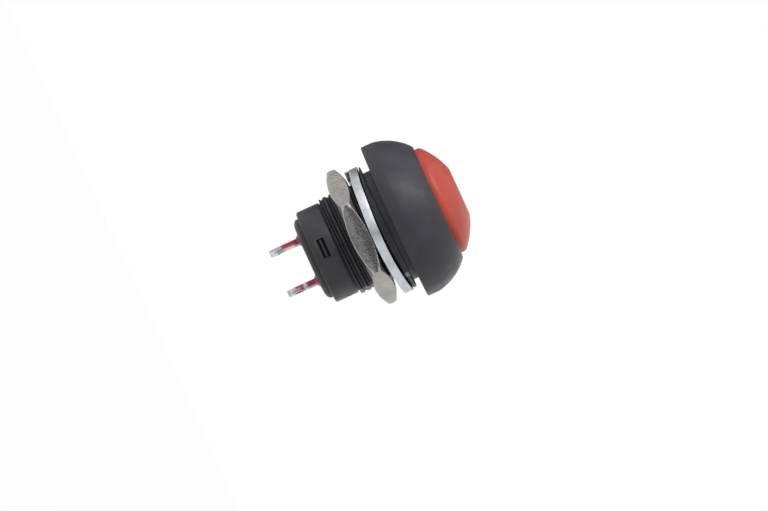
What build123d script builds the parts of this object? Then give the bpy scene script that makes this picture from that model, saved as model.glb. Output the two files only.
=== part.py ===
"""A panel-mount momentary pushbutton switch for a round 12 mm panel hole.

+Z runs along the switch axis towards the button. The origin is on that axis, in the plane of the
bezel's rear rim, which is where the panel's front face lies. X runs through the two solder
terminals, and the two latch windows face -Y and +Y. All sizes are in millimetres."""

import math
import os

from build123d import *

# ---------------------------------------------------------------- driving dimensions
# Bezel: a domed ring, moulded in one piece with the threaded barrel
bezel_d = 18.0
bezel_height = 5.3  # from the rim plane to the front lip
rim_height = 1.35  # straight band above the panel
dome_radius = 6.3  # section of the dome, which meets the band at a faint edge
lip_wall = 0.35  # front lip, between the dome and the button's pocket
lip_chamfer = 0.15
rim_land = 0.8  # flat ring that seats on the panel
recess_depth = 0.7  # shallow recess behind the bezel that takes the gasket
coring_depth = 2.0  # deeper groove that keeps the moulded wall even
pocket_wall = 0.6  # between the coring groove and the button's pocket
floor_wall = 0.9  # between the gasket's recess and the button's pocket

# Barrel
thread_d = 11.8
thread_flats = 11.25  # across the two flats that face along the terminals
thread_end = 6.45  # below the rim plane
runout = 0.15
relief_wall = 0.5  # groove that ends the thread
relief_width = 0.24
tail_wall = 0.67  # plain end, around the terminal carrier
barrel_length = 9.54
tail_chamfer = 0.15

# Button and its travel
button_d = 12.48
button_gap = 0.1
button_height = 7.93  # crown above the rim plane
crown_d = 5.57  # flat face in the middle
crown_wall = 1.18
shoulder_radius = 9.13  # the shoulder is part of a ball centred on the axis
shoulder_round = 0.3
button_wall = 0.9
haunch_drop = 0.3  # how far below the shoulder the inside starts to slope
boss_wall = 1.0  # boss that holds the plunger
press_travel = 1.6
travel_spare = 0.15

# Plunger
stem_d = 4.0
stem_grip = 2.6  # length held in the button's boss
stem_seat_gap = 0.02
slide_gap = 0.06
web_thickness = 2.2
collar_reach = 1.2
collar_height = 0.7
tip_stem_d = 1.8
tip_catch = 0.4
tip_head_height = 0.6
tip_slot = 0.4

# Seal around the plunger, and the ring that holds it down
seal_section = 0.8
seal_sides = 6  # flats that stand for its round section
seal_gap = 0.05
retainer_thickness = 0.3
retainer_reach = 0.95  # beyond the return spring
retainer_gap = 0.2

# Contact chamber, bridge and contacts
chamber_d = 8.9
contact_gap = 1.0
bridge_side_gap = 0.45
bridge_width = 3.0
bridge_thickness = 0.4
bridge_end_round = 0.9
bridge_hole_gap = 0.1
bridge_seat_gap = 0.03
contact_d = 1.3
contact_inset = 0.15
contact_height = 0.35

# Terminal carrier and terminals
carrier_step = 0.3  # the carrier's bore is this much wider than the chamber
carrier_gap = 0.03
carrier_grip = 2.75  # length held inside the barrel
carrier_nose = 0.74  # how far it stands out of the barrel
nose_side = 0.36  # straight part of the nose
nose_chamfer = 0.3
nose_edge = 0.1
nose_flat_inset = 0.6
well_gap = 0.4  # around the plunger's tip
well_depth = 0.5
terminal_spacing = 4.86
terminal_thickness = 0.6
terminal_width = 2.0
terminal_length = 3.72  # below the carrier's end face
terminal_tip_round = 0.6
terminal_bend_round = 0.3
wire_hole_d = 1.0
wire_hole_from_tip = 1.25
slot_gap = 0.02
epoxy_height = 0.45
epoxy_foot_width = 0.4  # beyond the blade, all round
epoxy_waist_width = 0.15

# Latches between the carrier and the barrel
window_width = 2.2
window_height = 0.8
window_from_end = 1.36  # its centre, from the barrel's end
latch_gap = 0.15  # all round in the window
latch_tip = 0.15
latch_reach = 0.5  # how far the tooth stands out of the carrier

# Springs
return_wire = 0.45
return_turns = 3.0
return_gap = 0.2
contact_wire = 0.28
contact_turns = 3.0
contact_spring_gap = 0.45
spring_seat_gap = 0.03
wire_sides = 5  # flats that stand for a round section

# Gasket, lock washer and nut, loose on the barrel
loose_sag = 0.2  # loose rings hang this far off the axis
gasket_gap = 0.25
gasket_wall = 0.35
gasket_top = 0.3  # the collar's end, inside the bezel's recess
gasket_collar_end = 0.75  # below the rim plane
gasket_flange_width = 0.8
gasket_flange = 0.4
gasket_chamfer = 0.12
washer_gap = 0.4
washer_width = 1.2
washer_thickness = 1.0
washer_lift = 0.6  # set of the split, one end behind the other
washer_split = 8.0  # width of the split, degrees
washer_split_at = 187.0  # where the split is, degrees from +X
washer_tilt = 1.7  # lean of the loose washer, degrees
loose_gap = 0.05
nut_flats = 14.0
nut_thickness = 2.25
nut_chamfer_angle = 30.0
nut_turned = 8.5  # degrees from the latch window
nut_bore_gap = 0.05
nut_countersink = 0.3

# ---------------------------------------------------------------- sizes that follow
bezel_r = bezel_d / 2
thread_r = thread_d / 2
pocket_r = button_d / 2 + button_gap
lip_r = pocket_r + lip_wall
coring_inner_r = pocket_r + pocket_wall
coring_outer_r = bezel_r - rim_land

pocket_floor = recess_depth + floor_wall
web_bottom = pocket_floor - web_thickness
seal_inner_r = stem_d / 2 + seal_gap
seal_outer_r = seal_inner_r + seal_section
gland_r = seal_outer_r + seal_gap
gland_floor = pocket_floor - seal_section - seal_gap
retainer_top = pocket_floor + retainer_thickness
guide_r = stem_d / 2 + slide_gap

boss_r = stem_d / 2 + boss_wall
shoulder_centre = button_height - math.sqrt(shoulder_radius**2 - (crown_d / 2) ** 2)
shoulder_z = shoulder_centre + math.sqrt(shoulder_radius**2 - (button_d / 2) ** 2)
crown_angle = math.degrees(math.acos(crown_d / 2 / shoulder_radius))
side_angle = math.degrees(math.acos(button_d / 2 / shoulder_radius))
ceiling = button_height - crown_wall
skirt_bottom = pocket_floor + press_travel + travel_spare
boss_bottom = retainer_top + press_travel + travel_spare
stem_top = boss_bottom + stem_grip
return_mean_r = boss_r + return_gap + return_wire / 2
return_outer_r = return_mean_r + return_wire / 2
retainer_r = return_outer_r + retainer_reach

carrier_bore_r = chamber_d / 2 + carrier_step
carrier_r = carrier_bore_r - carrier_gap
relief_r = carrier_bore_r + relief_wall
tail_r = carrier_bore_r + tail_wall
window_centre = window_from_end - barrel_length
latch_width = window_width - 2 * latch_gap
latch_height = window_height - 2 * latch_gap
carrier_top = carrier_grip - barrel_length
carrier_end = -barrel_length - carrier_nose
shelf_top = carrier_top + terminal_thickness
fixed_top = shelf_top + contact_height
bridge_bottom = fixed_top + contact_gap + contact_height
bridge_top = bridge_bottom + bridge_thickness
bridge_length = chamber_d - 2 * bridge_side_gap
contact_x = bridge_length / 2 - contact_inset - contact_d / 2
collar_bottom = web_bottom - collar_height
tip_head_r = tip_stem_d / 2 + tip_catch
contact_mean_r = tip_stem_d / 2 + contact_spring_gap + contact_wire / 2

gasket_bore_r = thread_r + gasket_gap
gasket_collar_r = gasket_bore_r + gasket_wall
gasket_flange_r = gasket_collar_r + gasket_flange_width
gasket_end = -gasket_collar_end - gasket_flange
washer_front = gasket_end - loose_gap
washer_rear = washer_front - washer_thickness - washer_lift
nut_front = washer_rear - loose_gap
nut_rear = nut_front - nut_thickness
nut_corner_r = nut_flats / 2 / math.cos(math.pi / 6)


def finish(piece, name):
    """Label a finished piece and write its STEP file."""
    piece.part.label = name
    export_step(piece.part, f"parts/{name}.step")


def coil(mean_r, wire, turns, bottom, top):
    """A spring that stands between two levels, clear of both seats."""
    low = bottom + spring_seat_gap + wire / 2
    rise = top - spring_seat_gap - wire / 2 - low
    with BuildPart() as spring:
        with BuildLine(Plane.XY.offset(low)) as line:
            Helix(pitch=rise / turns, height=rise, radius=mean_r)
        path = line.line
        with BuildSketch(Plane(origin=path @ 0, z_dir=path % 0)):
            RegularPolygon(wire / 2, wire_sides)
        sweep(path=path, is_frenet=True)
    return spring


os.makedirs("parts", exist_ok=True)

# ---------------------------------------------------------------- housing
with BuildPart() as housing:
    with BuildSketch(Plane.XZ) as section:
        with BuildLine():
            Polyline(
                (bezel_r, rim_height),
                (bezel_r, 0),
                (coring_outer_r, 0),
                (coring_outer_r, coring_depth),
                (coring_inner_r, coring_depth),
                (coring_inner_r, recess_depth),
                (thread_r, recess_depth),
                (thread_r, -thread_end),
                (relief_r, -thread_end - runout),
                (relief_r, -thread_end - runout - relief_width),
                (tail_r, -thread_end - runout - relief_width),
                (tail_r, -barrel_length),
                (carrier_bore_r, -barrel_length),
                (carrier_bore_r, carrier_top),
                (chamber_d / 2, carrier_top),
                (chamber_d / 2, web_bottom),
                (guide_r, web_bottom),
                (guide_r, gland_floor),
                (gland_r, gland_floor),
                (gland_r, pocket_floor),
                (pocket_r, pocket_floor),
                (pocket_r, bezel_height),
                (lip_r, bezel_height),
            )
            RadiusArc((bezel_r, rim_height), (lip_r, bezel_height), -dome_radius)
        make_face()
        tail = section.vertices().sort_by_distance(Vertex(tail_r, -barrel_length))[0]
        chamfer(tail, tail_chamfer)
    revolve(axis=Axis.Z)
    lip = housing.edges().filter_by(GeomType.CIRCLE).sort_by(Axis.Z)[-2:].sort_by(SortBy.LENGTH)[-1]
    chamfer(lip, lip_chamfer)
    # the two flats run the whole length of the thread
    with BuildSketch(Plane.XY.offset(-thread_end - runout)):
        Circle(thread_r + slide_gap)
        Rectangle(thread_flats, thread_d * 2, mode=Mode.SUBTRACT)
    extrude(amount=thread_end + runout + recess_depth, mode=Mode.SUBTRACT)
    # a latch window on each side
    with Locations((0, 0, window_centre)):
        Box(window_width, tail_r * 4, window_height, mode=Mode.SUBTRACT)
finish(housing, "housing")

# ---------------------------------------------------------------- button and plunger
with BuildPart() as button_cap:
    with BuildSketch(Plane.XZ) as section:
        with BuildLine():
            Polyline(
                (crown_d / 2, button_height),
                (0, button_height),
                (0, stem_top + stem_seat_gap),
                (stem_d / 2 + stem_seat_gap, stem_top + stem_seat_gap),
                (stem_d / 2 + stem_seat_gap, boss_bottom),
                (boss_r, boss_bottom),
                (boss_r, ceiling),
                (return_outer_r + return_gap, ceiling),
                (button_d / 2 - button_wall, shoulder_z - haunch_drop),
                (button_d / 2 - button_wall, skirt_bottom),
                (button_d / 2, skirt_bottom),
                (button_d / 2, shoulder_z),
            )
            CenterArc((0, shoulder_centre), shoulder_radius, side_angle, crown_angle - side_angle)
        make_face()
        shoulder = section.vertices().sort_by_distance(Vertex(button_d / 2, shoulder_z))[0]
        fillet(shoulder, shoulder_round)
    revolve(axis=Axis.Z)
finish(button_cap, "button_cap")

with BuildPart() as plunger:
    with BuildSketch(Plane.XZ):
        with BuildLine():
            Polyline(
                (0, stem_top),
                (stem_d / 2, stem_top),
                (stem_d / 2, web_bottom),
                (stem_d / 2 + collar_reach, web_bottom),
                (stem_d / 2 + collar_reach, collar_bottom),
                (tip_stem_d / 2, collar_bottom),
                (tip_stem_d / 2, bridge_bottom - bridge_seat_gap),
                (tip_head_r, bridge_bottom - bridge_seat_gap),
                (tip_stem_d / 2, bridge_bottom - bridge_seat_gap - tip_head_height),
                (0, bridge_bottom - bridge_seat_gap - tip_head_height),
                close=True,
            )
        make_face()
    revolve(axis=Axis.Z)
    # the split that lets the tip spring through the bridge
    with BuildSketch(Plane.XY.offset(bridge_bottom - bridge_seat_gap - tip_head_height)):
        Rectangle(tip_slot, tip_head_r * 4)
    extrude(amount=(collar_bottom - bridge_bottom) / 2 + tip_head_height, mode=Mode.SUBTRACT)
finish(plunger, "plunger")

with BuildPart() as plunger_seal:
    with BuildSketch(Plane.XZ):
        with Locations((seal_inner_r + seal_section / 2, pocket_floor - seal_section / 2)):
            RegularPolygon(seal_section / 2, seal_sides, major_radius=False)
    revolve(axis=Axis.Z)
finish(plunger_seal, "plunger_seal")

with BuildPart() as seal_retainer:
    with BuildSketch(Plane.XY.offset(pocket_floor)):
        Circle(retainer_r)
        Circle(stem_d / 2 + retainer_gap, mode=Mode.SUBTRACT)
    extrude(amount=retainer_thickness)
finish(seal_retainer, "seal_retainer")

return_spring = coil(return_mean_r, return_wire, return_turns, retainer_top, ceiling)
finish(return_spring, "return_spring")

# ---------------------------------------------------------------- contacts
contact_spring = coil(contact_mean_r, contact_wire, contact_turns, bridge_top, collar_bottom)
finish(contact_spring, "contact_spring")

with BuildPart() as contact_bridge:
    with BuildSketch(Plane.XY.offset(bridge_bottom)):
        RectangleRounded(bridge_length, bridge_width, bridge_end_round)
        Circle(tip_stem_d / 2 + bridge_hole_gap, mode=Mode.SUBTRACT)
    extrude(amount=bridge_thickness)
finish(contact_bridge, "contact_bridge")

for side, sign in (("left", -1), ("right", 1)):
    with BuildPart() as moving_contact:
        with BuildSketch(Plane.XY.offset(bridge_bottom)):
            with Locations((sign * contact_x, 0)):
                Circle(contact_d / 2)
        extrude(amount=-contact_height)
    finish(moving_contact, f"moving_contact_{side}")

    with BuildPart() as fixed_contact:
        with BuildSketch(Plane.XY.offset(shelf_top)):
            with Locations((sign * contact_x, 0)):
                Circle(contact_d / 2)
        extrude(amount=contact_height)
    finish(fixed_contact, f"fixed_contact_{side}")

    # a blade that is bent outwards over the carrier, where it holds the fixed contact
    blade_x = terminal_spacing / 2
    near_x = sign * (blade_x - terminal_thickness / 2)
    far_x = sign * (blade_x + terminal_thickness / 2)
    shelf_x = sign * (contact_x + contact_d / 2)
    tip_z = carrier_end - terminal_length
    with BuildPart() as terminal:
        with BuildSketch(Plane.XZ) as profile:
            with BuildLine():
                Polyline(
                    (near_x, tip_z),
                    (near_x, shelf_top),
                    (shelf_x, shelf_top),
                    (shelf_x, carrier_top),
                    (far_x, carrier_top),
                    (far_x, tip_z),
                    close=True,
                )
            make_face()
            bend = profile.vertices().sort_by_distance(Vertex(near_x, shelf_top))[0]
            fillet(bend, terminal_bend_round)
        extrude(amount=terminal_width / 2, both=True)
        tips = terminal.edges().filter_by(Axis.X).group_by(Axis.Z)[0]
        fillet(tips, terminal_tip_round)
        with BuildSketch(Plane.YZ.offset(near_x)):
            with Locations((0, tip_z + wire_hole_from_tip)):
                Circle(wire_hole_d / 2)
        extrude(amount=sign * terminal_thickness, mode=Mode.SUBTRACT)
    finish(terminal, f"terminal_{side}")

    # sealing resin that has crept up the blade where it leaves the carrier
    with BuildPart() as epoxy_bead:
        for depth, spread in (
            (0, epoxy_foot_width),
            (epoxy_height / 3, epoxy_waist_width),
            (epoxy_height, slot_gap * 2),
        ):
            with BuildSketch(Plane.XY.offset(carrier_end - depth)):
                with Locations((sign * blade_x, 0)):
                    Rectangle(terminal_thickness + 2 * spread, terminal_width + 2 * spread)
        loft(ruled=True)
        with BuildSketch(Plane.XY.offset(carrier_end)):
            with Locations((sign * blade_x, 0)):
                Rectangle(terminal_thickness, terminal_width)
        extrude(amount=-epoxy_height, mode=Mode.SUBTRACT)
    finish(epoxy_bead, f"epoxy_bead_{side}")

# ---------------------------------------------------------------- terminal carrier
with BuildPart() as terminal_carrier:
    with BuildSketch(Plane.XZ):
        with BuildLine():
            Polyline(
                (0, carrier_top - well_depth),
                (tip_head_r + well_gap, carrier_top - well_depth),
                (tip_head_r + well_gap, carrier_top),
                (carrier_r, carrier_top),
                (carrier_r, -barrel_length - nose_side),
                (carrier_r - nose_chamfer, carrier_end + nose_edge),
                (carrier_r - nose_flat_inset, carrier_end),
                (0, carrier_end),
                close=True,
            )
        make_face()
    revolve(axis=Axis.Z)
    # latch teeth: a ramp that leads in, and a square catch behind it
    catch_z = window_centre - latch_height / 2
    tooth_y = carrier_r + latch_reach
    with BuildSketch(Plane.YZ):
        with BuildLine():
            Polyline(
                (carrier_r - latch_reach, catch_z),
                (tooth_y, catch_z),
                (tooth_y, catch_z + latch_tip),
                (carrier_r - latch_reach, catch_z + latch_height + latch_reach),
                close=True,
            )
        make_face()
        mirror(about=Plane.YZ)
    extrude(amount=latch_width / 2, both=True)
    with BuildSketch(Plane.XY.offset(carrier_end)):
        with Locations((-terminal_spacing / 2, 0), (terminal_spacing / 2, 0)):
            Rectangle(terminal_thickness + 2 * slot_gap, terminal_width + 2 * slot_gap)
    extrude(amount=carrier_top - carrier_end, mode=Mode.SUBTRACT)
finish(terminal_carrier, "terminal_carrier")

# ---------------------------------------------------------------- gasket, washer and nut
with BuildPart() as panel_gasket:
    with BuildSketch(Plane.XZ) as section:
        with BuildLine():
            Polyline(
                (gasket_bore_r, gasket_top),
                (gasket_collar_r, gasket_top),
                (gasket_collar_r, -gasket_collar_end),
                (gasket_flange_r, -gasket_collar_end),
                (gasket_flange_r, gasket_end),
                (gasket_bore_r, gasket_end),
                close=True,
            )
        make_face()
        chamfer(section.vertices().group_by(Axis.X)[-1], gasket_chamfer)
    revolve(axis=Axis.Z)
panel_gasket.part.position = (loose_sag, 0, 0)
finish(panel_gasket, "panel_gasket")

# a split ring of square section, sprung open into one turn of a left-hand helix
with BuildPart() as lock_washer:
    washer_mean_r = thread_r + washer_gap + washer_width / 2
    low_end = math.radians(washer_split_at - washer_split / 2)
    lean = math.radians(washer_tilt)
    washer_plane = Plane(
        origin=(loose_sag, 0, washer_rear + washer_thickness / 2),
        x_dir=(math.cos(low_end), math.sin(low_end) * math.cos(lean), math.sin(low_end) * math.sin(lean)),
        z_dir=(0, -math.sin(lean), math.cos(lean)),
    )
    turns = 1 - washer_split / 360
    with BuildLine(washer_plane) as line:
        Helix(washer_lift / turns, washer_lift, washer_mean_r, lefthand=True)
    path = line.line
    with BuildSketch(Plane(origin=path @ 0, x_dir=washer_plane.x_dir, z_dir=path % 0)):
        Rectangle(washer_width, washer_thickness)
    sweep(path=path, is_frenet=True)
finish(lock_washer, "lock_washer")

with BuildPart() as hex_nut:
    with BuildSketch(Plane.XY.offset(nut_rear)):
        RegularPolygon(nut_flats / 2, 6, major_radius=False, rotation=nut_turned)
    extrude(amount=nut_thickness)
    # both ends are turned to a cone that leaves a round face
    chamfer_drop = (nut_corner_r - nut_flats / 2) * math.tan(math.radians(nut_chamfer_angle))
    bore_r = thread_r + nut_bore_gap
    with BuildSketch(Plane.XZ):
        with BuildLine():
            Polyline(
                (bore_r + nut_countersink, nut_front),
                (nut_flats / 2, nut_front),
                (nut_corner_r, nut_front - chamfer_drop),
                (nut_corner_r, nut_rear + chamfer_drop),
                (nut_flats / 2, nut_rear),
                (bore_r + nut_countersink, nut_rear),
                (bore_r, nut_rear + nut_countersink),
                (bore_r, nut_front - nut_countersink),
                close=True,
            )
        make_face()
    revolve(axis=Axis.Z, mode=Mode.INTERSECT)
finish(hex_nut, "hex_nut")
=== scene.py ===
# %% [markdown]
# # A pushbutton switch for a panel
# A black domed bezel holds a red button. The bezel is moulded in one piece with a threaded barrel,
# which goes through a 12 mm hole, and a gasket, a split lock washer and a hex nut hold it there.
# Two tinned blades stand out of a plug in the barrel's end, sealed in with red resin.
# The measured solids come first, and everything below is modelled round them, in millimetres.

# %% Load the measured solids
import math

import bmesh
import bpy
from mathutils import Matrix, Vector


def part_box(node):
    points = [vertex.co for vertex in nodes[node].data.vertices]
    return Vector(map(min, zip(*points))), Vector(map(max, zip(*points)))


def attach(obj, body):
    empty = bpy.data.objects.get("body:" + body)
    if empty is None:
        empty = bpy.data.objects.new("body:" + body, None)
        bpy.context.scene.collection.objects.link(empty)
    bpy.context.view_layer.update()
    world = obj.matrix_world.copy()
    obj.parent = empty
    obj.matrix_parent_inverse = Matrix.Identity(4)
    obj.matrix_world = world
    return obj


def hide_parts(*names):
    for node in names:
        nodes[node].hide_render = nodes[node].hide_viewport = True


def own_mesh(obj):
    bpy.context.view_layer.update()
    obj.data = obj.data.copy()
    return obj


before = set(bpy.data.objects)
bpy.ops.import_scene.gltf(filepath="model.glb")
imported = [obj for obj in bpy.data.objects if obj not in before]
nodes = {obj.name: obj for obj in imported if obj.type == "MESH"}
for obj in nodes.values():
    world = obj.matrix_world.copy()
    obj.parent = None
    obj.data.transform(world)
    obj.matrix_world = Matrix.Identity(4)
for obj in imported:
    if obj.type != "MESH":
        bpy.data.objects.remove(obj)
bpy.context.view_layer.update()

# %% [markdown]
# ## Sizes
# The outside sizes are read from the solids, so the finished pieces can't drift from them. The
# rest are a maker's own numbers for the walls and clearances that a box can't tell. A name that
# ends in r is a radius, and one that ends in z is a height on the axis, from the bezel's back up.

# %% Sizes from the solids
mm = 0.001


def extent(node):
    """The lowest and highest corners of a node, in millimetres."""
    low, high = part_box(node)
    return low / mm, high / mm


bezel_r, _, lip_z = extent("housing")[1]
button_r, _, crown_z = extent("button_cap")[1]
skirt_z = extent("button_cap")[0].z
nut_rear, nut_front = (corner.z for corner in extent("hex_nut"))
gasket_rear, gasket_front = (corner.z for corner in extent("panel_gasket"))
print(f"bezel radius {bezel_r:.2f}, lip at {lip_z:.2f}, crown at {crown_z:.2f}")

# %% Sizes of walls and clearances
# The bezel's straight band and dome, and the button's pocket.
rim_z, dome_radius = 1.35, 6.3
pocket_r, pocket_floor = button_r + 0.1, 1.6
lip_r = pocket_r + 0.35
# The gasket's recess, and the coring groove behind the dome.
recess_z, coring_z = 0.7, 2.0
coring_inner_r, coring_outer_r = pocket_r + 0.6, bezel_r - 0.8
# The web under the pocket, the plunger's guide through it and the gland of the plunger's seal.
web_z, guide_r, gland_r, gland_z = -0.6, 2.06, 2.9, 0.75
# The barrel's bore, its thread with two flats, and the relief groove behind the thread.
chamber_r = 4.45
thread_r, thread_root_r, thread_pitch = 5.9, 5.55, 0.75
thread_flat, thread_stop = 5.5, -6.6
relief_r, relief_chamfer = 5.25, 0.15
# The gasket and the washer are loose and hang this far to one side.
loose_sag = 0.2

# %% [markdown]
# ## Shaping helpers
# Most of the switch is turned or wound. One helper draws an outline, one spins it round the axis
# and one winds it up the axis. Another finds the edges on one circle of a turned shape, which a
# bevel then rounds. Moulded and pressed parts that aren't round start from a welded copy of their
# solid. Its flat faces are made whole again first, because a bevel needs clean faces on both
# sides of an edge.

# %% Draw an outline
def arc(centre, radius, start, end, steps):
    """Points on a round stretch of an outline, from one angle to another in degrees."""
    angles = [math.radians(start + (end - start) * i / steps) for i in range(steps + 1)]
    return [(centre[0] + radius * math.cos(a), centre[1] + radius * math.sin(a)) for a in angles]


def drawn(outline, closed=True):
    """A new shape with edges through (radius, height) points, and back to the first if closed."""
    shape = bmesh.new()
    points = [shape.verts.new((radius, 0, height)) for radius, height in outline]
    following = points[1:] + points[:1] if closed else points[1:]
    for first, second in zip(points, following):
        shape.edges.new((first, second))
    return shape


# %% Turn it or wind it
def turned(outline, steps=180, closed=True):
    """Spin an outline once round the axis."""
    shape = drawn(outline, closed)
    bmesh.ops.spin(shape, geom=shape.verts[:] + shape.edges[:], axis=(0, 0, 1),
                   angle=2 * math.pi, steps=steps, use_merge=True)
    bmesh.ops.remove_doubles(shape, verts=shape.verts, dist=0.0001)
    bmesh.ops.recalc_face_normals(shape, faces=shape.faces)
    return shape


def wind(shape, section, turns, rise, steps):
    """Spin a section round the axis as it rises, clockwise if turns is below zero, and give its
    last copy."""
    return bmesh.ops.spin(shape, geom=section, axis=(0, 0, 1), angle=2 * math.pi * turns,
                          steps=steps, dvec=(0, 0, rise / steps), use_merge=False)["geom_last"]


def cap(shape):
    """Close the open ends of a wound shape, and give the faces that do."""
    rims = [e for e in shape.edges if e.is_boundary]
    ends = bmesh.ops.holes_fill(shape, edges=rims, sides=0)["faces"]
    bmesh.ops.recalc_face_normals(shape, faces=shape.faces)
    return ends


# %% Round chosen edges
def ring(shape, radius, height, near=0.002):
    """The edges of a turned shape that lie on one circle."""
    on_ring = {v for v in shape.verts
               if abs(v.co.z - height) < near and abs(v.co.xy.length - radius) < near}
    return [e for e in shape.edges if e.verts[0] in on_ring and e.verts[1] in on_ring]


def sharp(shape, least):
    """The edges where two faces meet at more than so many degrees."""
    limit = math.radians(least)
    return [e for e in shape.edges if e.is_manifold and e.calc_face_angle(0) > limit]


def round_off(shape, edges, width, segments=2):
    """Bevel edges into small rounds."""
    bmesh.ops.bevel(shape, geom=edges, offset=width, offset_type="OFFSET", segments=segments,
                    profile=0.5, affect="EDGES", clamp_overlap=True, material=-1)


# %% Copy a solid
def copied(node):
    """A welded copy of a node in millimetres, with each flat face in one piece."""
    shape = bmesh.new()
    shape.from_mesh(nodes[node].data)
    bmesh.ops.scale(shape, vec=(1 / mm, 1 / mm, 1 / mm), verts=shape.verts)
    bmesh.ops.remove_doubles(shape, verts=shape.verts, dist=0.002)
    bmesh.ops.dissolve_limit(shape, angle_limit=math.radians(0.5), verts=shape.verts,
                             edges=shape.edges, use_dissolve_boundaries=False)
    return shape


# %% Finish a piece
pieces = {}


def finish(shape, name, body, slot, *replaced, crisp=28):
    """Write a shape as an object in metres that rides on a body. Edges over crisp stay hard."""
    bmesh.ops.scale(shape, vec=(mm, mm, mm), verts=shape.verts)
    mesh = bpy.data.meshes.new(name)
    shape.to_mesh(mesh)
    shape.free()
    mesh.shade_smooth()
    mesh.set_sharp_from_angle(angle=math.radians(crisp))
    piece = bpy.data.objects.new(name, mesh)
    bpy.context.scene.collection.objects.link(piece)
    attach(piece, body)
    if replaced:
        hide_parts(*replaced)
    pieces[name] = piece
    size = [round(d / mm, 2) for d in piece.dimensions]
    print(f"{name}: {len(mesh.polygons)} faces, {size} mm")
    return piece


# %% [markdown]
# ## Bezel and barrel
# The real part is one moulding: a dome with a pocket for the button, a coring groove behind it and
# a barrel below. It could be a stack of booleans, but every feature in front of the latch windows
# is round, so one outline on the lathe gives clean rings of faces that carry a long soft
# highlight. A straight band runs round the rim, and the dome leaves it at a faint edge that the
# light finds. The barrel is turned down to the root of its thread here, and the thread is wound
# on as a piece of its own.

# %% Turn the bezel
band_top, lip_edge = Vector((bezel_r, rim_z)), Vector((lip_r, lip_z))
half_chord = (lip_edge - band_top) / 2
inwards = half_chord.orthogonal().normalized()
centre_depth = math.sqrt(dome_radius**2 - half_chord.length_squared)
dome_centre = band_top + half_chord + inwards * centre_depth
dome_start, dome_end = (
    math.degrees(math.atan2(point.y - dome_centre.y, point.x - dome_centre.x))
    for point in (band_top, lip_edge))
print(f"the dome is centred {dome_centre.x:.2f} from the axis, from {dome_start:.1f} degrees up")
bezel = turned([
    (bezel_r, 0), *arc(dome_centre, dome_radius, dome_start, dome_end, 20),
    (pocket_r, lip_z), (pocket_r, pocket_floor),
    (gland_r, pocket_floor), (gland_r, gland_z), (guide_r, gland_z), (guide_r, web_z),
    (chamber_r, web_z), (chamber_r, thread_stop), (relief_r, thread_stop),
    (thread_root_r, thread_stop + relief_chamfer), (thread_root_r, recess_z),
    (coring_inner_r, recess_z), (coring_inner_r, coring_z),
    (coring_outer_r, coring_z), (coring_outer_r, 0)])
round_off(bezel, ring(bezel, lip_r, lip_z), width=0.16, segments=4)
round_off(bezel, ring(bezel, pocket_r, lip_z), width=0.07, segments=3)
round_off(bezel, ring(bezel, bezel_r, 0), width=0.1, segments=3)
round_off(bezel, ring(bezel, coring_outer_r, 0), width=0.05)
finish(bezel, "bezel_and_barrel", "body", "black_plastic", "housing")

# %% [markdown]
# ## Thread
# A thread is a bar of trapezoid section wound round the barrel. A bump texture would leave the
# edge of the barrel smooth, so the bar is real: four points are spun and lifted by one pitch
# a turn. It is right-handed, so the lift goes up as the spin goes anticlockwise. Its foot is sunk
# a little into the barrel. Two planes then shave it to the flats that keep the barrel from
# turning in its panel, and two more end it square, inside the recess and at the relief groove.
# Each cut is closed with a face.

# %% Wind the thread
crest_width, foot_width, sunk = 0.26, 0.68, 0.05
thread_start, thread_turns, steps_per_turn = -7.147, 11, 96
foot_r = thread_root_r - sunk
ridge = drawn([(foot_r, thread_start - foot_width / 2), (thread_r, thread_start - crest_width / 2),
               (thread_r, thread_start + crest_width / 2), (foot_r, thread_start + foot_width / 2)])
wind(ridge, ridge.verts[:] + ridge.edges[:], thread_turns, thread_pitch * thread_turns,
     steps_per_turn * thread_turns)
bmesh.ops.recalc_face_normals(ridge, faces=ridge.faces)
print("thread rises to", round(max(v.co.z for v in ridge.verts), 2))

# %% Shave the flats and square the ends
cuts = [((thread_flat, 0, 0), (1, 0, 0)), ((-thread_flat, 0, 0), (-1, 0, 0)),
        ((0, 0, recess_z - sunk), (0, 0, 1)), ((0, 0, thread_stop), (0, 0, -1))]
for point, outwards in cuts:
    cut = bmesh.ops.bisect_plane(ridge, geom=ridge.verts[:] + ridge.edges[:] + ridge.faces[:],
                                 dist=0.00001, plane_co=point, plane_no=outwards,
                                 clear_outer=True)
    rims = [e for e in cut["geom_cut"] if isinstance(e, bmesh.types.BMEdge)]
    bmesh.ops.holes_fill(ridge, edges=rims, sides=0)
bmesh.ops.recalc_face_normals(ridge, faces=ridge.faces)
finish(ridge, "barrel_thread", "body", "black_plastic")

# %% [markdown]
# ## Tail of the barrel
# Behind the thread the barrel is plain, with a groove where the thread ends and two latch windows.
# The windows aren't round work, so this end is a copy of the solid, cut off a hair behind the
# turned part, with a bridge of faces across the cut wall and its edges rounded as a mould leaves
# them.

# %% Cut the tail from the solid
tail_gap = 0.01
tail = copied("housing")
cut = bmesh.ops.bisect_plane(tail, geom=tail.verts[:] + tail.edges[:] + tail.faces[:], dist=0.0005,
                             plane_co=(0, 0, thread_stop - tail_gap), plane_no=(0, 0, 1),
                             clear_outer=True)
rims = [e for e in cut["geom_cut"] if isinstance(e, bmesh.types.BMEdge)]
bmesh.ops.bridge_loops(tail, edges=rims)
bmesh.ops.recalc_face_normals(tail, faces=tail.faces)
round_off(tail, sharp(tail, 35), width=0.05)
finish(tail, "barrel_tail", "body", "black_plastic")

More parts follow.
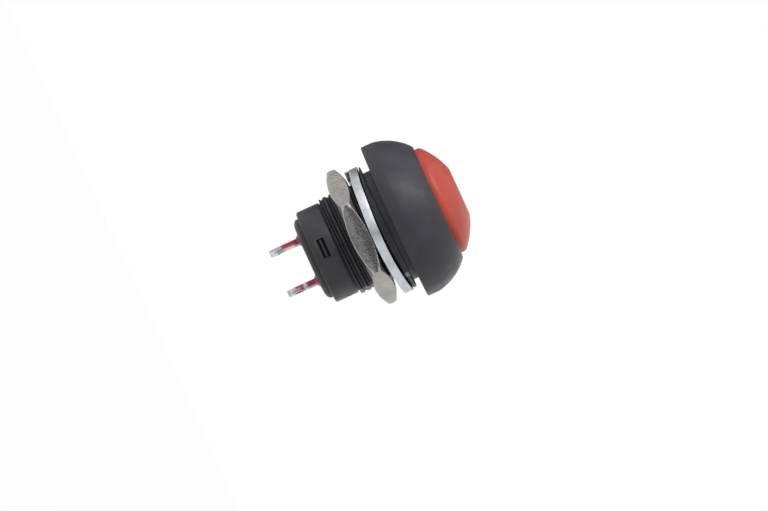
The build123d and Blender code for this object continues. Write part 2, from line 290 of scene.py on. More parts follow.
# %% [markdown]
# ## Red button
# The cap has a flat crown, a shoulder that is part of a ball, and a straight skirt in the bezel's
# pocket. Its inside is open round a boss that holds the plunger. One outline turns all of it, and
# the shoulder's corner gets the round that catches a thin line of light. The cap is loose in its
# pocket, and stands to one side of it by most of the play it has.

# %% Turn the button
ball_radius, crown_r, button_play = 9.13, 2.785, 0.07
socket_r, socket_z, boss_r, boss_z = 2.02, 6.27, 3.0, 3.65
ceiling_r, ceiling_z, skirt_inner_r, slope_z = 3.85, 6.75, 5.34, 5.6
ball_z = crown_z - math.sqrt(ball_radius**2 - crown_r**2)
shoulder_z = ball_z + math.sqrt(ball_radius**2 - button_r**2)
ball_start = math.degrees(math.acos(button_r / ball_radius))
ball_end = math.degrees(math.acos(crown_r / ball_radius))
button = turned([
    (0, socket_z), (socket_r, socket_z), (socket_r, boss_z), (boss_r, boss_z),
    (boss_r, ceiling_z), (ceiling_r, ceiling_z), (skirt_inner_r, slope_z),
    (skirt_inner_r, skirt_z), (button_r, skirt_z),
    *arc((0, ball_z), ball_radius, ball_start, ball_end, 12), (0, crown_z)], closed=False)
round_off(button, ring(button, button_r, shoulder_z), width=0.26, segments=5)
round_off(button, ring(button, crown_r, crown_z), width=0.14, segments=4)
round_off(button, ring(button, button_r, skirt_z), width=0.08)
bmesh.ops.translate(button, vec=(-button_play, 0, 0), verts=button.verts)
finish(button, "red_button", "button", "red_plastic", "button_cap")

# %% [markdown]
# ## Gasket
# A rubber gasket with a collar in the bezel's recess and a flange that the washer presses on. It is
# loose on the barrel, so it hangs a little off the axis, as its solid does, and its front leans.
# The back of the flange stays level and a hair clear of the washer. Only on the side where the
# washer is lowest has the soft rubber swollen after it, by up to half a millimetre.

# %% Turn the gasket
gasket_bore_r, collar_r, flange_r = 6.15, 6.5, 7.3
flange_front, flange_lift, swelling = -0.84, 0.045, 0.54
lean_slope = math.tan(math.radians(1.15))
gasket = turned([
    (gasket_bore_r, gasket_rear), (flange_r, gasket_rear), (flange_r, flange_front),
    (collar_r, flange_front), (collar_r, gasket_front), (gasket_bore_r, gasket_front)])
flange_edges = ring(gasket, flange_r, gasket_rear) + ring(gasket, flange_r, flange_front)
round_off(gasket, flange_edges, width=0.12, segments=4)
round_off(gasket, ring(gasket, collar_r, gasket_front), width=0.06)
for vertex in gasket.verts:
    if vertex.co.z > (gasket_rear + flange_front) / 2:
        vertex.co.z += vertex.co.x * lean_slope
    else:
        low_side = (min(vertex.co.y, 0) / vertex.co.xy.length) ** 2
        vertex.co.z += flange_lift - swelling * low_side
bmesh.ops.translate(gasket, vec=(loose_sag, 0, 0), verts=gasket.verts)
finish(gasket, "rubber_gasket", "body", "gasket_rubber", "panel_gasket")

# %% [markdown]
# ## Split lock washer
# A length of square steel bar wound into one turn and cut, so its two ends stand a little apart and
# bite. The section winds clockwise while it rises, which makes it left-handed, and is then capped
# at both ends. Those two faces are sawn, not plated, and are marked for a second material that is
# painted dark, as painted shade. A used washer is never quite flat: its high end is bent up towards
# the gasket, and three waves round the ring let it lean on the nut at one side.

# %% Wind the washer
washer_inner_r, washer_outer_r, washer_half = 6.3, 7.5, 0.5
washer_z, washer_lift, washer_steps = -2.199, 0.389, 176
washer_arc, low_end_angle = 352.0, 183.0
washer = drawn([(washer_inner_r, -washer_half), (washer_outer_r, -washer_half),
                (washer_outer_r, washer_half), (washer_inner_r, washer_half)])
wind(washer, washer.verts[:] + washer.edges[:], -washer_arc / 360, washer_lift, washer_steps)
end_edges = list({edge for face in cap(washer) for edge in face.edges})
round_off(washer, end_edges, width=0.28, segments=4)
round_off(washer, sharp(washer, 40), width=0.07, segments=3)
# The cut ends get the dark finish, which paints shade on them.
for face in washer.faces:
    along_bar = Vector((0, 0, 1)).cross(face.calc_center_median()).normalized()
    face.material_index = int(abs(face.normal.dot(along_bar)) > 0.97)

# %% Bend the washer
end_kick, kick_length, margin = 0.2, 45.0, 2
washer_waves = [(1, 0.247, 0.150), (2, 0.076, 0.079), (3, -0.022, 0.063)]
for vertex in washer.verts:
    clockwise = -math.degrees(math.atan2(vertex.co.y, vertex.co.x))
    from_high_end = washer_arc - ((clockwise + margin) % 360 - margin)
    if from_high_end < kick_length:
        vertex.co.z += end_kick * (1 + math.cos(math.pi * from_high_end / kick_length)) / 2
bmesh.ops.rotate(washer, cent=(0, 0, 0), verts=washer.verts,
                 matrix=Matrix.Rotation(math.radians(low_end_angle), 3, "Z"))
for vertex in washer.verts:
    around = math.atan2(vertex.co.y, vertex.co.x)
    vertex.co.z += sum(rise * math.sin(waves * around) + shift * math.cos(waves * around)
                       for waves, rise, shift in washer_waves)
bmesh.ops.translate(washer, vec=(loose_sag, 0, washer_z), verts=washer.verts)
finish(washer, "split_washer", "washer", "zinc_steel", "lock_washer")

# %% [markdown]
# ## Nut
# Bar stock with six flats, its two ends turned to a cone so that the corners don't scratch. The
# nut is first turned as if it were round. Then each outer point is drawn in to the hexagon, and
# moved along the cone's slope by as much as it came in, which gives the curved edge that the cone
# leaves on each flat. The flats of a pressed nut are a little crowned, so each has two rows of
# faces on either side of its middle, and they fall away by a few hundredths. The end faces are
# dished inside that curved edge, so that it stands out as a fine bright rim, and the front one
# keeps a small clearance to the washer. The turned ends are marked for a second material.

# %% Turn the nut and draw in its flats
half_flats, cone_r, bore_r, countersink = 7.0, 6.95, 5.95, 0.3
dish_r, dish_depth, clearance = 6.55, 0.22, 0.05
nut_turn, nut_lean, flat_crown = 8.5, 0.9, 0.065
corner_r, cone_slope = half_flats / math.cos(math.radians(30)), math.tan(math.radians(30))
nut_middle, nut_half = (nut_front + nut_rear) / 2, (nut_front - nut_rear) / 2
front_dish, rear_dish = nut_front - clearance - dish_depth, nut_rear + dish_depth
nut = turned([
    (bore_r, front_dish - countersink), (bore_r + countersink, front_dish), (dish_r, front_dish),
    *((corner_r, nut_middle + row) for row in (1, 0.5, 0, -0.5, -1)),
    (dish_r, rear_dish), (bore_r + countersink, rear_dish), (bore_r, rear_dish + countersink)])
for vertex in [v for v in nut.verts if v.co.xy.length > cone_r + 0.01]:
    around, row = math.atan2(vertex.co.y, vertex.co.x), vertex.co.z - nut_middle
    from_flat = around % math.radians(60) - math.radians(30)
    reach = half_flats / math.cos(from_flat)
    edge = nut_half - (reach - cone_r) * cone_slope
    reach -= flat_crown * row**2
    vertex.co = (reach * math.cos(around), reach * math.sin(around), nut_middle + row * edge)
round_off(nut, sharp(nut, 20), width=0.09, segments=3)
for face in nut.faces:
    face.material_index = int(abs(face.normal.z) > 0.2)
bmesh.ops.rotate(nut, cent=(0, 0, 0), verts=nut.verts,
                 matrix=Matrix.Rotation(math.radians(nut_turn), 3, "Z"))
bmesh.ops.rotate(nut, cent=(0, 0, nut_middle), verts=nut.verts,
                 matrix=Matrix.Rotation(math.radians(-nut_lean), 3, "Y"))
finish(nut, "panel_nut", "nut", "nickel_brass", "hex_nut", crisp=9)

# %% [markdown]
# ## Blades, plug and resin
# The blades are cut from sheet and the plug is a moulding with a latch tooth on each side, so they
# are welded copies of their solids with the edges broken. The teeth are drawn out until they
# nearly fill the latch windows. The resin has crept up each blade while it was wet. Its copy is
# widened next to the plug, then divided and relaxed, which melts the hard edges of the solid into
# a meniscus.

# %% Blades and plug
for side in ("left", "right"):
    blade = copied(f"terminal_{side}")
    round_off(blade, sharp(blade, 40), width=0.05)
    finish(blade, f"blade_{side}", "body", "tinned_brass", f"terminal_{side}")

tooth_z, tooth_up, tooth_down = -8.5, 0.13, -0.05
tooth_widening, tooth_reach = 1.06, 1.015
plug = copied("terminal_carrier")
tooth_tip = max(vertex.co.y for vertex in plug.verts)
for vertex in plug.verts:
    if abs(vertex.co.y) > tooth_tip - 0.01:
        vertex.co.y *= tooth_reach
        vertex.co.x *= tooth_widening
        vertex.co.z += tooth_up if vertex.co.z > tooth_z else tooth_down
round_off(plug, sharp(plug, 30), width=0.04)
finish(plug, "barrel_plug", "body", "carrier_plastic", "terminal_carrier")

# %% Resin
resin_widening, relaxings = 0.45, 3
for side in ("left", "right"):
    resin = copied(f"epoxy_bead_{side}")
    middle = sum((vertex.co for vertex in resin.verts), Vector()) / len(resin.verts)
    for vertex in resin.verts:
        if vertex.co.z > middle.z:
            vertex.co.x += (vertex.co.x - middle.x) * resin_widening
    bmesh.ops.triangulate(resin, faces=resin.faces)
    bmesh.ops.subdivide_edges(resin, edges=resin.edges, cuts=3, use_grid_fill=True)
    for _ in range(relaxings):
        bmesh.ops.smooth_vert(resin, verts=resin.verts, factor=0.5, use_axis_x=True,
                              use_axis_y=True, use_axis_z=True)
    finish(resin, f"resin_{side}", "body", "red_resin", f"epoxy_bead_{side}")

# %% [markdown]
# ## Springs
# Both coils are round wire, wound with a closed turn at each end that gives them a flat seat. A
# section of the wire is spun three times in a row: a little over half a turn almost without rise,
# the open turns, and the closed end again.

# %% Wind the springs
closed_turns, open_turns, closed_gap = 0.6, 2.3, 0.02
steps_per_coil, wire_sides = 40, 12


def wound(node, wire, name, body):
    """A coil in the place of a solid one."""
    low, high = extent(node)
    spring = bmesh.new()
    start = Matrix.Translation((high.x - wire / 2, 0, low.z + wire / 2))
    upright = Matrix.Rotation(math.radians(90), 4, "X")
    bmesh.ops.create_circle(spring, segments=wire_sides, radius=wire / 2, matrix=start @ upright)
    section, rise = spring.verts[:] + spring.edges[:], high.z - low.z - wire
    closed_rise = closed_turns * (wire + closed_gap)
    for turns, climb in ((closed_turns, closed_rise), (open_turns, rise - 2 * closed_rise),
                         (closed_turns, closed_rise)):
        section = wind(spring, section, turns, climb, round(steps_per_coil * turns))
    cap(spring)
    piece = finish(spring, name, body, "spring_steel", node, crisp=50)
    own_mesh(piece)


wound("return_spring", 0.45, "return_coil", "body")
wound("contact_spring", 0.28, "contact_coil", "button")

# %% [markdown]
# ## Surface effects
# Several finishes share the same effects, so each effect is a node group that is built once and
# placed with its own values. All of them read the piece's own coordinates in metres, so their
# scales are large: 1000 is a pattern a millimetre across.

# %% Node helpers
def add(tree, kind, **values):
    """A node with its plain socket values set. An underscore stands for a space in their names."""
    node = tree.nodes.new(kind)
    for name, value in values.items():
        node.inputs[name.replace("_", " ")].default_value = value
    return node


def maths(tree, operation, first, second):
    """A Math node between two values, each an output or a number."""
    node = tree.nodes.new("ShaderNodeMath")
    node.operation = operation
    node.use_clamp = operation == "MULTIPLY"
    for socket, value in zip(node.inputs, (first, second)):
        if isinstance(value, bpy.types.NodeSocket):
            tree.links.new(value, socket)
        else:
            socket.default_value = value
    return node.outputs[0]


def between(tree, value, low, high, to_low=0.0, to_high=1.0):
    """Map a value's range to another, smoothly and held at the ends."""
    node = add(tree, "ShaderNodeMapRange", From_Min=low, From_Max=high, To_Min=to_low,
               To_Max=to_high)
    node.interpolation_type = "SMOOTHSTEP"
    tree.links.new(value, node.inputs["Value"])
    return node.outputs["Result"]


def blend_colours(tree, mask, first, second):
    """Mix two colours, each an output or an (r, g, b), by a mask."""
    node = tree.nodes.new("ShaderNodeMix")
    node.data_type = "RGBA"
    tree.links.new(mask, node.inputs["Factor"])
    for socket, colour in ((node.inputs[6], first), (node.inputs[7], second)):
        if isinstance(colour, bpy.types.NodeSocket):
            tree.links.new(colour, socket)
        else:
            socket.default_value = (*colour, 1)
    return node.outputs[2]


def new_group(name, inputs, outputs):
    """An empty node group with number and vector sockets, and its two end nodes."""
    group = bpy.data.node_groups.new(name, "ShaderNodeTree")
    for label, kind in inputs:
        group.interface.new_socket(label, in_out="INPUT", socket_type=kind)
    for label, kind in outputs:
        group.interface.new_socket(label, in_out="OUTPUT", socket_type=kind)
    return group, group.nodes.new("NodeGroupInput"), group.nodes.new("NodeGroupOutput")


FLOAT, VECTOR = "NodeSocketFloat", "NodeSocketVector"

# %% [markdown]
# Mottle is slow cloudy variation, for plating that took unevenly and plastic that is a little
# darker in one place than another. Low and High say where in the noise the mask starts and ends.

# %% Mottle
mottle, enter, leave = new_group(
    "Mottle", [("Vector", VECTOR), ("Scale", FLOAT), ("Low", FLOAT), ("High", FLOAT)],
    [("Mask", FLOAT)])
noise = add(mottle, "ShaderNodeTexNoise", Detail=5.0, Roughness=0.55)
spread = mottle.nodes.new("ShaderNodeMapRange")
spread.interpolation_type = "SMOOTHSTEP"
mottle.links.new(enter.outputs["Vector"], noise.inputs["Vector"])
mottle.links.new(enter.outputs["Scale"], noise.inputs["Scale"])
mottle.links.new(noise.outputs["Fac"], spread.inputs["Value"])
mottle.links.new(enter.outputs["Low"], spread.inputs["From Min"])
mottle.links.new(enter.outputs["High"], spread.inputs["From Max"])
mottle.links.new(spread.outputs["Result"], leave.inputs["Mask"])

# %% [markdown]
# Grain is the fine tooth of a surface: the sandblasted mould of the plastic, or the tumbled skin of
# a plated part. It only tilts the normal, by a bump of a few microns, and of some tens of microns
# where the flats of the nut were left rough.

# %% Grain
grain, enter, leave = new_group(
    "Grain", [("Vector", VECTOR), ("Scale", FLOAT), ("Depth", FLOAT)], [("Normal", VECTOR)])
noise = add(grain, "ShaderNodeTexNoise", Detail=3.0, Roughness=0.6)
bump = add(grain, "ShaderNodeBump", Strength=1.0)
grain.links.new(enter.outputs["Vector"], noise.inputs["Vector"])
grain.links.new(enter.outputs["Scale"], noise.inputs["Scale"])
grain.links.new(noise.outputs["Fac"], bump.inputs["Height"])
grain.links.new(enter.outputs["Depth"], bump.inputs["Distance"])
grain.links.new(bump.outputs["Normal"], leave.inputs["Normal"])

# %% [markdown]
# Specks are the dust and tiny pits that any handled part carries. Each cell of a Voronoi pattern
# holds one dot, and only the share of cells with a low random value show theirs.

# %% Specks
specks, enter, leave = new_group(
    "Specks", [("Vector", VECTOR), ("Scale", FLOAT), ("Size", FLOAT), ("Share", FLOAT)],
    [("Mask", FLOAT)])
cells = specks.nodes.new("ShaderNodeTexVoronoi")
specks.links.new(enter.outputs["Vector"], cells.inputs["Vector"])
specks.links.new(enter.outputs["Scale"], cells.inputs["Scale"])
inside = maths(specks, "LESS_THAN", cells.outputs["Distance"], enter.outputs["Size"])
chance = specks.nodes.new("ShaderNodeSeparateColor")
specks.links.new(cells.outputs["Color"], chance.inputs["Color"])
chosen = maths(specks, "LESS_THAN", chance.outputs["Red"], enter.outputs["Share"])
specks.links.new(maths(specks, "MULTIPLY", inside, chosen), leave.inputs["Mask"])

print("effects:", [g.name for g in bpy.data.node_groups])

# %% [markdown]
# ## Finishes
# Every finish starts from a Principled shader with its plain values on its own sockets, and the
# effects feed its colour, roughness and normal.

# %% Start a finish
micron = 0.000001


def new_finish(name, **values):
    """A material with a Principled shader and the piece's own coordinates."""
    material = bpy.data.materials.new(name)
    material.use_nodes = True
    tree = material.node_tree
    shader = tree.nodes["Principled BSDF"]
    for socket, value in values.items():
        shader.inputs[socket.replace("_", " ")].default_value = value
    place = tree.nodes.new("ShaderNodeTexCoord").outputs["Object"]
    return material, tree, shader, place


def effect(tree, group, place, **values):
    """Place a shared effect in a material and give its first output."""
    node = tree.nodes.new("ShaderNodeGroup")
    node.node_tree = group
    tree.links.new(place, node.inputs["Vector"])
    for socket, value in values.items():
        node.inputs[socket].default_value = value
    return node.outputs[0]


def dress(material, *names):
    """Give pieces and CAD nodes one material, and keep the faces marked for a second one."""
    for name in names:
        piece = pieces.get(name) or nodes[name]
        # Clearing the list resets every face, so a list that is empty already is left alone.
        if piece.data.materials:
            piece.data.materials.clear()
        piece.data.materials.append(material)


# %% [markdown]
# Moulded black plastic is almost black in colour, and what the eye sees is mostly its satin
# reflection. A fine tooth spreads it, slow mottle keeps it from being even, and a little pale dust
# lies on it. The bezel, the polished thread, the plug and both rubbers are the same idea with
# other values, and the thread is painted darker than the bezel, as painted shade. Two things are
# the gasket's alone: the face under the bezel is painted paler, as painted light where it sits in
# shade, and one spot near the edge of its flange is a painted highlight.

# %% Black plastics and rubber
dust_colour = (0.16, 0.16, 0.165)
# The front of the gasket is painted paler between these heights, as painted light.
painted_light_start, painted_light_full = -1.0 * mm, -0.8 * mm


def black_finish(name, dark, light, roughness, tooth, depth, dust, painted_light=None, spot=None):
    """Two near blacks with a tooth and a share of dust. Painted light is a paler colour for the
    front of the gasket, painted on where it sits in shade. Spot is the middle, the reach and the
    colour of a painted highlight."""
    material, tree, shader, place = new_finish(name, Specular_IOR_Level=0.3)
    clouds = effect(tree, mottle, place, Scale=260.0, Low=0.35, High=0.7)
    specked = effect(tree, specks, place, Scale=1300.0, Size=0.07, Share=dust)
    colour = blend_colours(tree, clouds, dark, light)
    colour = blend_colours(tree, specked, colour, dust_colour)
    # Painted light: the front of the gasket sits in the bezel's shade and is painted paler.
    if painted_light:
        height = tree.nodes.new("ShaderNodeSeparateXYZ")
        tree.links.new(place, height.inputs["Vector"])
        lit_collar_mask = between(tree, height.outputs["Z"], painted_light_start, painted_light_full)
        colour = blend_colours(tree, lit_collar_mask, colour, painted_light)
    # Painted highlight: a pale spot where a lamp's reflection falls on the flange.
    if spot:
        middle, reach, pale = spot
        away = tree.nodes.new("ShaderNodeVectorMath")
        away.operation = "DISTANCE"
        tree.links.new(place, away.inputs[0])
        away.inputs[1].default_value = middle
        highlight_mask = between(tree, away.outputs["Value"], reach, reach * 0.6)
        colour = blend_colours(tree, highlight_mask, colour, pale)
    tree.links.new(colour, shader.inputs["Base Color"])
    streaks = effect(tree, mottle, place, Scale=900.0, Low=0.3, High=0.7)
    tree.links.new(between(tree, streaks, 0, 1, roughness - 0.05, roughness + 0.06),
                   shader.inputs["Roughness"])
    toothed = effect(tree, grain, place, Scale=tooth, Depth=depth)
    tree.links.new(toothed, shader.inputs["Normal"])
    return material


# Where the painted highlight sits on the gasket's flange.
painted_highlight_middle = [along * mm for along in (6.39, -3.86, -1.04)]
bezel_black = black_finish("satin black plastic", (0.027, 0.026, 0.033), (0.036, 0.035, 0.044),
                           roughness=0.4, tooth=5200.0, depth=4 * micron, dust=0.05)
# The thread is glossier than the bezel, and painted darker than it as painted shade.
thread_black_with_painted_shade = black_finish("polished black plastic with painted shade", (0.013, 0.013, 0.017),
                            (0.019, 0.019, 0.024), roughness=0.36, tooth=4300.0,
                            depth=4 * micron, dust=0.03)
plug_black = black_finish("plug black plastic", (0.028, 0.028, 0.034), (0.037, 0.037, 0.044),
                          roughness=0.5, tooth=4300.0, depth=5 * micron, dust=0.05)
# The gasket gets painted light on its front and a painted highlight on its flange.
gasket_black = black_finish("gasket rubber", (0.016, 0.016, 0.02), (0.024, 0.024, 0.03),
                            roughness=0.36, tooth=3000.0, depth=3 * micron, dust=0.03,
                            painted_light=(0.075, 0.078, 0.095),
                            spot=(painted_highlight_middle, 0.5 * mm, (0.26, 0.26, 0.29)))
seal_black = black_finish("seal rubber", (0.012, 0.012, 0.012), (0.018, 0.018, 0.018),
                          roughness=0.6, tooth=3000.0, depth=4 * micron, dust=0.0)
dress(bezel_black, "bezel_and_barrel", "barrel_tail")
dress(thread_black_with_painted_shade, "barrel_thread")
dress(plug_black, "barrel_plug")
dress(gasket_black, "rubber_gasket")
dress(seal_black, "plunger_seal")

# %% [markdown]
# The button is red all through, with the same satin skin as the bezel. Handling has dulled it in
# faint patches and left a few dark specks. The plunger inside is plain white acetal.

# %% Red and white plastics
red, tree, shader, place = new_finish("red plastic", Specular_IOR_Level=0.32)
clouds = effect(tree, mottle, place, Scale=220.0, Low=0.3, High=0.75)
specked = effect(tree, specks, place, Scale=1200.0, Size=0.07, Share=0.04)
colour = blend_colours(tree, clouds, (0.41, 0.05, 0.028), (0.47, 0.062, 0.038))
colour = blend_colours(tree, specked, colour, (0.3, 0.05, 0.04))
tree.links.new(colour, shader.inputs["Base Color"])
dull = effect(tree, mottle, place, Scale=500.0, Low=0.35, High=0.7)
tree.links.new(between(tree, dull, 0, 1, 0.33, 0.43), shader.inputs["Roughness"])
toothed = effect(tree, grain, place, Scale=3800.0, Depth=3 * micron)
tree.links.new(toothed, shader.inputs["Normal"])
dress(red, "red_button")

white, tree, shader, place = new_finish("natural acetal")
clouds = effect(tree, mottle, place, Scale=300.0, Low=0.3, High=0.7)
colour = blend_colours(tree, clouds, (0.72, 0.71, 0.67), (0.79, 0.78, 0.74))
tree.links.new(colour, shader.inputs["Base Color"])
tree.links.new(between(tree, clouds, 0, 1, 0.35, 0.45), shader.inputs["Roughness"])
dress(white, "plunger")

# %% [markdown]
# Metals differ in tint, in how even their plating is and in how smooth they are. One recipe makes
# them: two tints mixed by mottle, roughness that follows a finer mottle, and a tumbled grain. The
# nut's flats are bright but rough, so they glitter, while its turned ends are dull and painted
# paler, as painted light. The sawn ends of the washer are bare and painted dark, as painted shade.

# %% Metals
def metal_finish(name, dark, light, patch, smooth, rough, grain_scale, depth):
    """A plated or drawn metal with uneven tint and polish."""
    material, tree, shader, place = new_finish(name, Metallic=1.0)
    patches = effect(tree, mottle, place, Scale=patch, Low=0.38, High=0.62)
    colour = blend_colours(tree, patches, dark, light)
    polish = effect(tree, mottle, place, Scale=patch * 3.3, Low=0.35, High=0.65)
    tree.links.new(between(tree, polish, 0, 1, smooth, rough), shader.inputs["Roughness"])
    tree.links.new(colour, shader.inputs["Base Color"])
    tumbled = effect(tree, grain, place, Scale=grain_scale, Depth=depth)
    tree.links.new(tumbled, shader.inputs["Normal"])
    return material, tree, shader, place, colour


# Name, dark and light tint, scale of the patches, least and greatest roughness, scale and depth
# of the grain.
metal = {name: metal_finish(name, *values)[0] for name, *values in (
    ("zinc plate", (0.47, 0.49, 0.525), (0.6, 0.62, 0.65), 500.0, 0.34, 0.42, 2600.0, 2 * micron),
    ("nickel plate", (0.32, 0.305, 0.29), (0.39, 0.374, 0.356), 420.0, 0.1, 0.16,
     2000.0, 50 * micron),
    # Paler than the nickel plate, as painted light on the nut's turned ends.
    ("turned nickel plate with painted light", (0.4, 0.385, 0.365), (0.5, 0.48, 0.455), 420.0, 0.45, 0.55,
     1300.0, 10 * micron),
    # Dark, as painted shade on the washer's cut ends.
    ("sawn steel with painted shade", (0.09, 0.09, 0.09), (0.17, 0.17, 0.165), 900.0, 0.4, 0.5, 2600.0, 6 * micron),
    ("bright steel", (0.5, 0.5, 0.52), (0.62, 0.62, 0.63), 700.0, 0.22, 0.32, 3000.0, 4 * micron),
    ("rolled brass", (0.62, 0.46, 0.22), (0.76, 0.58, 0.3), 600.0, 0.24, 0.34, 2600.0, 4 * micron),
    ("silver facing", (0.74, 0.73, 0.7), (0.84, 0.83, 0.8), 800.0, 0.18, 0.3, 2600.0, 4 * micron))}
dress(metal["zinc plate"], "split_washer")
# The washer's cut ends are painted dark, as painted shade.
pieces["split_washer"].data.materials.append(metal["sawn steel with painted shade"])
dress(metal["nickel plate"], "panel_nut")
# The nut's turned ends are dull, and painted paler as painted light.
pieces["panel_nut"].data.materials.append(metal["turned nickel plate with painted light"])
dress(metal["bright steel"], "return_coil", "contact_coil", "seal_retainer")
dress(metal["rolled brass"], "contact_bridge")
dress(metal["silver facing"],
      *[f"{kind}_contact_{side}" for kind in ("moving", "fixed") for side in ("left", "right")])

# %% [markdown]
# The blades are tinned, and the resin that seals them has been smeared along them by hand. The
# smear is part of the blade's own finish: where its mask is set, the metal gives way to a
# thin red coat. One blade has a stripe down one side of its face, the other is spotted all over.

# %% Tin with a smear of resin
def smeared_tin(name, tip_z, root_z, corner, patch, low, stripe, root_stain):
    """Tin plate with red patches from tip_z up, on one side of a corner, and all red from root_z
    up."""
    material, tree, shader, place, bare = metal_finish(
        name, (0.42, 0.42, 0.42), (0.66, 0.66, 0.66), 900.0, 0.26, 0.4, 2400.0, 8 * micron)
    spot = tree.nodes.new("ShaderNodeSeparateXYZ")
    tree.links.new(place, spot.inputs["Vector"])
    along = spot.outputs["Z"]
    patches = effect(tree, mottle, place, Scale=patch, Low=low, High=low + 0.1)
    beside = maths(tree, "MULTIPLY",
                   between(tree, spot.outputs["X"], corner.x + 0.1 * mm, corner.x),
                   between(tree, spot.outputs["Y"], corner.y + 0.2 * mm, corner.y))
    beyond = between(tree, along, tip_z - 0.1 * mm, tip_z + 0.2 * mm)
    root = between(tree, along, root_z, root_z + 0.5 * mm)
    smeared = maths(tree, "MULTIPLY", maths(tree, "MULTIPLY", beside, beyond), patches)
    coated = maths(tree, "MAXIMUM", smeared, root)
    stain = blend_colours(tree, root, stripe, root_stain)
    tree.links.new(blend_colours(tree, coated, bare, stain), shader.inputs["Base Color"])
    tree.links.new(maths(tree, "SUBTRACT", 1.0, coated), shader.inputs["Metallic"])
    return material


outside = [v.co for v in pieces["blade_left"].data.vertices if v.co.z < -12 * mm]
stripe_corner = Vector((min(co.x for co in outside) + 0.4 * mm,
                        min(co.y for co in outside) + 0.2 * mm))
no_corner = Vector((10 * mm, 10 * mm))
print("the stripe stops at", stripe_corner / mm)
dress(smeared_tin("tin plate with a red stripe", -12.6 * mm, -11.3 * mm, stripe_corner, 400.0,
                  0.26, (0.5, 0.014, 0.025), (0.2, 0.008, 0.035)), "blade_left")
dress(smeared_tin("tin plate with purple spots", -13.4 * mm, -11.9 * mm, no_corner, 1100.0,
                  0.5, (0.34, 0.04, 0.1), (0.3, 0.02, 0.07)), "blade_right")

resin, tree, shader, place = new_finish("red resin", Coat_Weight=0.5, Coat_Roughness=0.08)
clouds = effect(tree, mottle, place, Scale=700.0, Low=0.35, High=0.65)
colour = blend_colours(tree, clouds, (0.12, 0.008, 0.025), (0.28, 0.018, 0.045))
tree.links.new(colour, shader.inputs["Base Color"])
tree.links.new(between(tree, clouds, 0, 1, 0.15, 0.3), shader.inputs["Roughness"])
dress(resin, "resin_left", "resin_right")
print("finishes:", len(bpy.data.materials))

# %% [markdown]
# ## Camera
# A long lens well away from a small product keeps its ellipses honest. The camera looks almost
# square on to one side of the switch, and is rolled so that the button points up to the right.

# %% Camera
azimuth, elevation, tilt = math.radians(6.7), math.radians(1.3), math.radians(24.6)
distance, view_width, sensor_width = 0.9, 0.08486, 36
aim_left, aim_down = 1.149, 3.724
back = Vector((math.sin(azimuth) * math.cos(elevation), -math.cos(azimuth) * math.cos(elevation),
               math.sin(elevation)))
side = Vector((math.cos(azimuth), math.sin(azimuth), 0))
axis_up = back.cross(side)
camera_x = math.cos(tilt) * axis_up + math.sin(tilt) * side
camera_y = math.sin(tilt) * axis_up - math.cos(tilt) * side
aim = -camera_x * aim_left * mm - camera_y * aim_down * mm
camera_data = bpy.data.cameras.new("product camera")
camera_data.sensor_width = sensor_width
camera_data.lens = sensor_width * distance / view_width
camera_data.clip_start = 0.01
camera = bpy.data.objects.new("product camera", camera_data)
bpy.context.scene.collection.objects.link(camera)
turn = Matrix((camera_x, camera_y, back)).transposed()
camera.matrix_world = Matrix.Translation(aim + back * distance) @ turn.to_4x4()
bpy.context.scene.camera = camera
print(f"lens {camera_data.lens:.1f} mm at {distance / mm:.0f} mm")

# %% [markdown]
# ## Light and surroundings
# Plain soft studio light: a broad key lamp over the switch, a weaker fill opposite it and a white
# tent all round. The tent and the floor look white to the camera and in reflections, but light
# the switch with less than that, so that rounded parts keep their shading.

# %% Lamps
def soft_lamp(name, direction, away, length, width, watts):
    """An oblong area lamp that faces the switch from a direction, its length along the axis."""
    lamp_data = bpy.data.lights.new(name, "AREA")
    lamp_data.shape = "RECTANGLE"
    lamp_data.size, lamp_data.size_y = length, width
    lamp_data.energy = watts
    lamp = bpy.data.objects.new(name, lamp_data)
    bpy.context.scene.collection.objects.link(lamp)
    facing = direction.normalized()
    crossing = facing.cross(axis_up).normalized()
    turn = Matrix((crossing.cross(facing), crossing, facing)).transposed()
    lamp.matrix_world = Matrix.Translation(facing * away) @ turn.to_4x4()


soft_lamp("key lamp", 0.5 * back + 0.78 * camera_y + 0.4 * camera_x, 0.4, 0.46, 0.26, 1.2)
soft_lamp("fill lamp", 0.7 * back - 0.6 * camera_y - 0.4 * camera_x, 0.5, 0.3, 0.3, 0.6)


# %% World and floor
def seen_white(tree):
    """A mask of the rays that should meet a white background."""
    path = tree.nodes.new("ShaderNodeLightPath")
    direct = maths(tree, "MAXIMUM", path.outputs["Is Camera Ray"], path.outputs["Is Glossy Ray"])
    return maths(tree, "MAXIMUM", direct, path.outputs["Is Transmission Ray"])


tent_light, floor_glow, floor_radius, floor_z = 0.65, 0.94, 0.6, -0.06
world = bpy.data.worlds.new("white tent")
bpy.context.scene.world = world
world.use_nodes = True
tree = world.node_tree
tent = tree.nodes["Background"]
tent.inputs["Color"].default_value = (1, 1, 1, 1)
tree.links.new(between(tree, seen_white(tree), 0, 1, tent_light, 1.0), tent.inputs["Strength"])

floor_shape = bmesh.new()
bmesh.ops.create_circle(floor_shape, cap_ends=True, segments=96, radius=floor_radius)
bmesh.ops.translate(floor_shape, vec=(0, 0, floor_z), verts=floor_shape.verts)
floor_mesh = bpy.data.meshes.new("floor")
floor_shape.to_mesh(floor_mesh)
floor_shape.free()
floor = bpy.data.objects.new("floor", floor_mesh)
bpy.context.scene.collection.objects.link(floor)

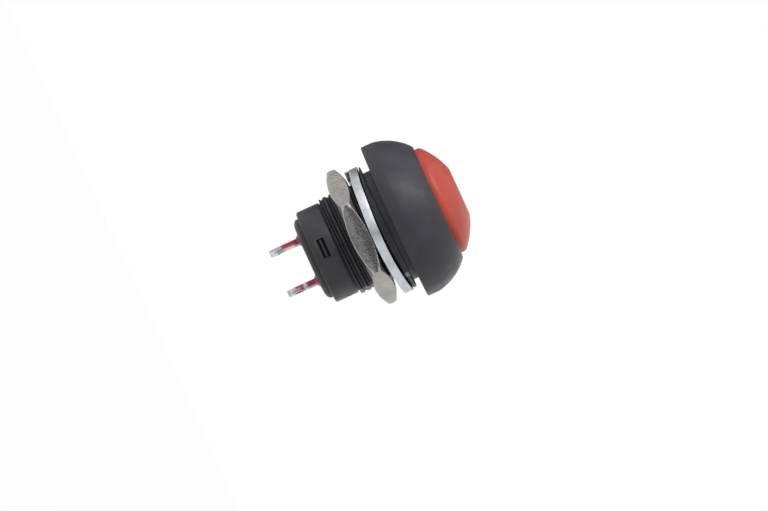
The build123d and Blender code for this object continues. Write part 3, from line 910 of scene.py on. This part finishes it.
pale, tree, shader, _ = new_finish("pale floor", Roughness=0.8)
shader.inputs["Base Color"].default_value = (0.85, 0.85, 0.85, 1)
glow = add(tree, "ShaderNodeEmission", Color=(1, 1, 1, 1), Strength=1.0)
lift = tree.nodes.new("ShaderNodeMixShader")
tree.links.new(maths(tree, "MULTIPLY", seen_white(tree), floor_glow), lift.inputs["Fac"])
tree.links.new(shader.outputs["BSDF"], lift.inputs[1])
tree.links.new(glow.outputs["Emission"], lift.inputs[2])
tree.links.new(lift.outputs["Shader"], tree.nodes["Material Output"].inputs["Surface"])
floor_mesh.materials.append(pale)

# %% [markdown]
# Bright metal in a white tent has only white to show, so three grey cards stand round the switch
# and are seen in reflections alone. One by the camera is the unlit room behind it, one below that
# shades the rear half of the nut's near flat, and one stands behind. The lower one is small and
# close, because farther away it would be under the floor.

# %% Dark cards
def dark_card(name, direction, away, half_size, shade):
    """A square of cool grey card that faces the switch and shows only in reflections."""
    grey, _, shader, _ = new_finish(name, Roughness=0.9)
    shader.inputs["Base Color"].default_value = (shade * 0.95, shade, shade * 1.13, 1)
    shape = bmesh.new()
    bmesh.ops.create_grid(shape, x_segments=1, y_segments=1, size=half_size)
    mesh = bpy.data.meshes.new(name)
    shape.to_mesh(mesh)
    shape.free()
    mesh.materials.append(grey)
    card = bpy.data.objects.new(name, mesh)
    bpy.context.scene.collection.objects.link(card)
    card.location = direction.normalized() * away
    card.rotation_euler = direction.to_track_quat("Z", "Y").to_euler()
    for ray in ("camera", "diffuse", "shadow", "transmission", "volume_scatter"):
        setattr(card, f"visible_{ray}", False)


dark_card("dark card by the camera", back + 0.075 * axis_up + 0.05 * side, 0.42, 0.085, 0.24)
dark_card("grey card below it", back - 0.39 * axis_up + 0.05 * side, 0.15, 0.026, 0.38)
dark_card("dark card behind", -0.8 * back - 0.5 * side + 0.3 * axis_up, 0.4, 0.2, 0.25)

# %% [markdown]
# ## Finish

# %% Set the view transform
bpy.context.scene.view_settings.view_transform = "Standard"
bpy.context.view_layer.update()
